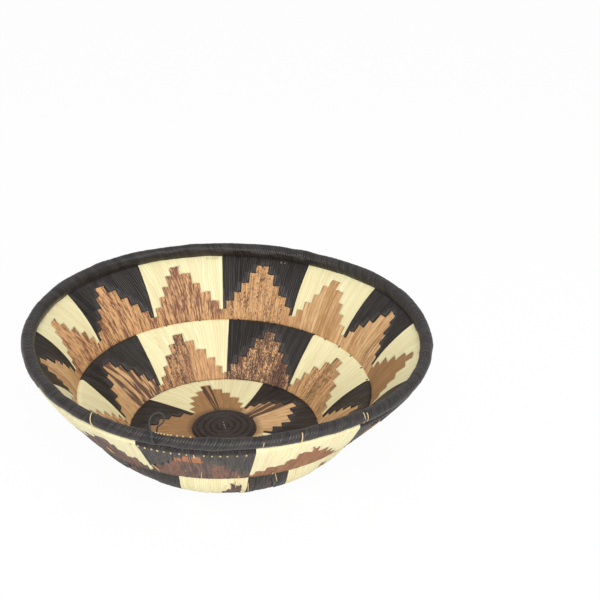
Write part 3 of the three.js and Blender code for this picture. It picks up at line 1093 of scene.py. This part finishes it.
class BASKET_OT_hanging_loop(bpy.types.Operator):
    """Tie the thin hanging loop over the rim"""
    bl_idname = "basket.hanging_loop"
    bl_label = "Hanging loop"

    def execute(self, context):
        diameter = sizes().cord_diameter
        angle = math.radians(LOOP_ANGLE)
        outward = Vector((math.cos(angle), math.sin(angle), 0))
        right = Vector((-math.sin(angle), math.cos(angle), 0))
        points = [
            outward * ((LOOP_REACH + out) * MM) + right * side * MM + Vector((0, 0, RIM_CENTRE[1] + up * MM))
            for out, side, up in LOOP_ROUTE]
        path = smooth_path(points, between=5)
        bm = new_strands()
        add_strand(bm, path, diameter / 2, sides=10, plies=2, lay=3.2 * MM)
        mesh = as_mesh(bm, "cord")
        piece = new_piece("hanging_loop_cord", mesh, [finish("cord")], ["hanging_loop"], "cord")
        length = sum((b - a).length for a, b in zip(path, path[1:]))
        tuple(path[0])
        return {"FINISHED"}


# Loose ends

# Cream raffia over the rim: degrees at its two ends, turns round the rim's section, and width in millimetres
RIM_TICKS = (
    ((236.6, 234.0), (-60, 140), 0.8),
    ((282.6, 282.9), (-25, 25), 0.6),
    ((292.7, 293.1), (-50, 60), 1.0),
    ((311.2, 311.7), (-45, 75), 0.6),
    ((312.2, 312.6), (-30, 60), 0.7),
)

# Cream stitches under the rim outside: degrees, and distance along the tier in millimetres
STITCHES = (
    (247.5, 53, 56), (249.6, 52.7, 55.6), (251.5, 52.1, 55), (253.4, 52.3, 54.8), (255, 50.8, 54.6),
    (256.8, 51.8, 54.2), (258.6, 50.2, 54), (261, 51.6, 54.2), (262.9, 51.8, 53.8), (264.8, 45.5, 53.8),
    (267.5, 51.8, 54.2), (269.6, 52, 53.6), (271.8, 51.6, 54), (273.6, 52, 53.4), (276.2, 51.4, 53.6),
    (278.6, 50.8, 54))

# Short cream ends on the inner edge of the front rim, in degrees
EDGE_ENDS = (254.5, 255.2, 256, 256.9, 257.8, 258.7, 260.4, 262, 264)

# Cream bristles under the rim at the back, in degrees
BRISTLES = (94.6, 95.4, 96.3, 97.8, 71.2, 72.6)

# Cream ends at the eye of the disc: across and along the view from the front, in millimetres
EYE_ENDS = ((-0.8, 4.4), (-0.3, 1.2), (0.3, -0.6), (0.9, -3.6))

# Dark knots along the edge between the upper and middle tiers, in degrees
KNOTS = (86, 78, 70, 61.5, 56.8, 50.5, 44.3, 35.7, 26.8, 16.4, 7, 103, 118)

# Cream strands astray outside: tier, degrees at both ends and distances along the tier in millimetres
STRAYS = (
    ("upper", (265.6, 264.8), (17, 0)), ("upper", (249, 250.4), (17, 6)), ("upper", (277.4, 277.8), (9, 0)),
    ("upper", (289, 289.6), (8, 1)), ("middle", (291, 293), (49, 37)), ("middle", (276.4, 277), (45, 36)),
    ("middle", (281.4, 282.2), (42, 25)), ("upper", (232.6, 233.4), (22, 12)))


def on_rim(degrees, turn, lift):
    """A place on the rim, at angles in degrees round the basket and round the rim's section."""
    around, turn = np.radians([degrees]), np.radians([turn])
    shift, girth = rim_form(around)
    reach = sizes().rim_radius * girth + lift * MM
    section = RIM_CENTRE + shift + across(0, np.degrees(turn)) * reach[:, None]
    return Vector(in_space(section, around)[0])


def on_face(tier, side, distance, degrees, lift):
    """A place on a tier's inner or outer face, at a distance along it in millimetres."""
    skin = sizes().band_thickness / 2 + lift * MM
    angle = np.radians([degrees])
    section = section_points(tier, np.array([side]), np.array([distance]), 0, angle, np.array([skin]))
    return Vector(in_space(section, angle)[0])


def cream_paths():
    """The path of each cream end, and its radius in millimetres."""
    for (first, last), (low, high), width in RIM_TICKS:
        yield [on_rim(first + (last - first) * k, low + (high - low) * k, -0.1)
               for k in np.linspace(0, 1, 12)], width / 2
    for degrees, low, high in STITCHES:
        yield [on_face("upper", -1, v, degrees, 0) for v in np.linspace(low, high, 3)], 0.75
    for degrees in EDGE_ENDS:
        yield [on_rim(degrees, turn, -0.1) for turn in (94, 106, 118)], 0.8
    for degrees in BRISTLES:
        yield [on_face("upper", 1, v, degrees, 0.3) for v in (52.6, 53.6, 54.6)], 0.3
    for tier, (first, last), (low, high) in STRAYS:
        yield [on_face(tier, -1, low + (high - low) * k, first + (last - first) * k, 0)
               for k in np.linspace(0, 1, 8)], 0.35
    top = sizes().band_thickness + 0.6 * MM
    for x, y in EYE_ENDS:
        yield [Vector((x * MM, (y + step) * MM, top)) for step in (-0.6, 0, 0.6)], 0.4


def knot_paths():
    """The path of each dark knot, and its radius in millimetres."""
    for degrees in KNOTS:
        yield [on_face("upper", 1, v, degrees, 0.1) for v in (0.4, 1.3, 2.2)], 0.6


class BASKET_OT_loose_ends(bpy.types.Operator):
    """Add the cream ticks on the rim, the stitches under it, bristles, knots and stray strands"""
    bl_idname = "basket.loose_ends"
    bl_label = "Loose ends"

    def execute(self, context):
        for name, paths, material, slot in (
                ("cream_ends", cream_paths(), "ends", "cream_raffia"),
                ("black_knots", knot_paths(), "black", "black_raffia")):
            bm = new_strands()
            for path, radius in paths:
                add_strand(bm, path, radius * MM, taper=True)
            new_piece(name, as_mesh(bm, name), [finish(material)], slot=slot)
        return {"FINISHED"}


# Stage

# Where the camera stands in metres, and its turns in degrees: to the left, down and about its own line
CAMERA_PLACE = (0.0471, -0.9259, 0.5852)
CAMERA_YAW = -0.63
CAMERA_PITCH = 26.83
CAMERA_ROLL = 0.87

# How far the floor reaches from the middle, and the point that the lamps face, in metres
FLOOR_REACH = 6
LAMP_AIM = (0, 0, 0.04)


class BASKET_OT_camera(bpy.types.Operator):
    """Put the camera where the basket is seen from above the front"""
    bl_idname = "basket.camera"
    bl_label = "Camera"

    def execute(self, context):
        lens = bpy.data.cameras.new("camera")
        lens.sensor_width = 36
        lens.lens = context.scene.basket_stage.focal_length
        lens.clip_start = 0.05
        camera = new_object("camera", lens)
        turns = [Matrix.Rotation(math.radians(angle), 4, axis) for angle, axis in (
            (CAMERA_YAW, "Z"), (90 - CAMERA_PITCH, "X"), (CAMERA_ROLL, "Z"))]
        camera.matrix_world = Matrix.Translation(CAMERA_PLACE) @ turns[0] @ turns[1] @ turns[2]
        context.scene.camera = camera
        return {"FINISHED"}


class BASKET_OT_stage(bpy.types.Operator):
    """Lay the pale floor and set the soft lights"""
    bl_idname = "basket.stage"
    bl_label = "Stage"

    def execute(self, context):
        scene = context.scene
        stage = scene.basket_stage
        bm = bmesh.new()
        bmesh.ops.create_grid(bm, x_segments=1, y_segments=1, size=FLOOR_REACH)
        mesh = as_mesh(bm, "floor")
        floor = new_object("floor", mesh)
        paper, tree = new_finish("white_paper")
        ray = add(tree, "ShaderNodeLightPath")
        matte = add(tree, "ShaderNodeBsdfDiffuse", {"Color": scene.basket_colours.floor})
        bright = add(tree, "ShaderNodeEmission", {"Color": (1, 1, 1, 1), "Strength": 1.0})
        seen = calculate(tree, "MULTIPLY", ray.outputs["Is Camera Ray"], stage.glow)
        both = add(tree, "ShaderNodeMixShader", {0: seen, 1: matte.outputs[0], 2: bright.outputs[0]})
        add(tree, "ShaderNodeOutputMaterial", {"Surface": both.outputs[0]})
        mesh.materials.append(paper)

        world = bpy.data.worlds.new("room")
        world.use_nodes = True
        tree = world.node_tree
        tree.nodes.clear()
        ray = add(tree, "ShaderNodeLightPath")
        light = add(tree, "ShaderNodeBackground", {"Color": (1, 1, 1, 1), "Strength": stage.sky})
        white = add(tree, "ShaderNodeBackground", {"Color": (1, 1, 1, 1), "Strength": 1.0})
        both = add(tree, "ShaderNodeMixShader", {
            0: ray.outputs["Is Camera Ray"], 1: light.outputs[0], 2: white.outputs[0]})
        add(tree, "ShaderNodeOutputWorld", {"Surface": both.outputs[0]})
        scene.world = world

        lamps = (
            ("front", stage.front_power, 1.0, (0.1, -1.15, 0.92)),
            ("top", stage.top_power, 1.2, (0.1, 0.2, 1.3)),
        )
        for name, power, size, spot in lamps:
            lamp = bpy.data.lights.new(name, "AREA")
            lamp.energy = power
            lamp.size = size
            light = new_object(name, lamp)
            light.location = spot
            light.rotation_mode = "QUATERNION"
            light.rotation_quaternion = (Vector(LAMP_AIM) - Vector(spot)).to_track_quat("-Z", "Y")
        scene.view_settings.view_transform = "Standard"
        return {"FINISHED"}


# Add-on

GROUPS = (("basket_sizes", BasketSizes), ("basket_colours", BasketColours), ("basket_stage", BasketStage))
OPERATORS = (
    BASKET_OT_camera, BASKET_OT_hanging_loop, BASKET_OT_tier, BASKET_OT_foundations, BASKET_OT_rim,
    BASKET_OT_centre_coil, BASKET_OT_loose_ends, BASKET_OT_stage)


class BASKET_PT_sidebar(bpy.types.Panel):
    bl_idname = "BASKET_PT_sidebar"
    bl_label = "Coiled basket"
    bl_space_type = "VIEW_3D"
    bl_region_type = "UI"
    bl_category = "Basket"

    def draw(self, context):
        for group, _ in GROUPS:
            settings = getattr(context.scene, group)
            box = self.layout.box()
            for key in settings.__annotations__:
                box.prop(settings, key)
        for operator in OPERATORS:
            self.layout.operator(operator.bl_idname)


def register():
    for group, kind in GROUPS:
        bpy.utils.register_class(kind)
        setattr(bpy.types.Scene, group, PointerProperty(type=kind))
    for kind in OPERATORS + (BASKET_PT_sidebar,):
        bpy.utils.register_class(kind)


def unregister():
    for kind in reversed(OPERATORS + (BASKET_PT_sidebar,)):
        bpy.utils.unregister_class(kind)
    for group, kind in reversed(GROUPS):
        delattr(bpy.types.Scene, group)
        bpy.utils.unregister_class(kind)


def main():
    register()
    bpy.ops.basket.camera()
    bpy.ops.basket.hanging_loop()
    for tier in BANDS:
        bpy.ops.basket.tier(tier=tier)
    bpy.ops.basket.foundations()
    bpy.ops.basket.rim()
    bpy.ops.basket.centre_coil()
    bpy.ops.basket.loose_ends()
    bpy.ops.basket.stage()


if __name__ == "__main__":
    main()
